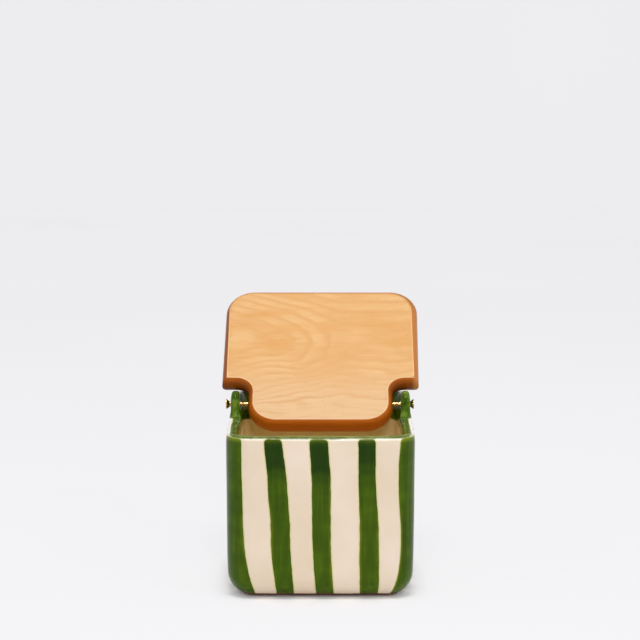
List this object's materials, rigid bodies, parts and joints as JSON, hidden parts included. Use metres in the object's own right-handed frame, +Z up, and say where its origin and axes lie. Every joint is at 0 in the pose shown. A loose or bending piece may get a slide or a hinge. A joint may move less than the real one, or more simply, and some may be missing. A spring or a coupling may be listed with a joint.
{
  "type": "hinged-lid salt canister",
  "caption": "Square glazed earthenware salt keeper with green painted stripes and a wooden lid that swings between two ears on brass screws.",
  "frame": {"origin": "centre of the pot's foot, on the surface that the pot stands on", "axes": "+Z up, -Y towards the front, +X to the right of a person who faces the front"},
  "size_m": [0.122, 0.1636, 0.1635],
  "materials": {
    "glaze": "glossy cream glaze over earthenware, hand-painted green stripes, rim and ears",
    "lid_wood": "oiled, light face and darker rounded edges",
    "screw_brass": "aged satin brass"
  },
  "bodies": {
    "pot": {"ceramic_pot": "glaze"},
    "lid": {"wooden_lid": "lid_wood", "left_hinge_screw": "screw_brass", "right_hinge_screw": "screw_brass"}
  },
  "joints": [
    {"name": "lid_hinge", "type": "hinge", "parent": "pot", "child": "lid", "pos_m": [0, 0.029, 0.1018], "axis": [1, 0, 0], "range_deg": [0, 142]}
  ]
}
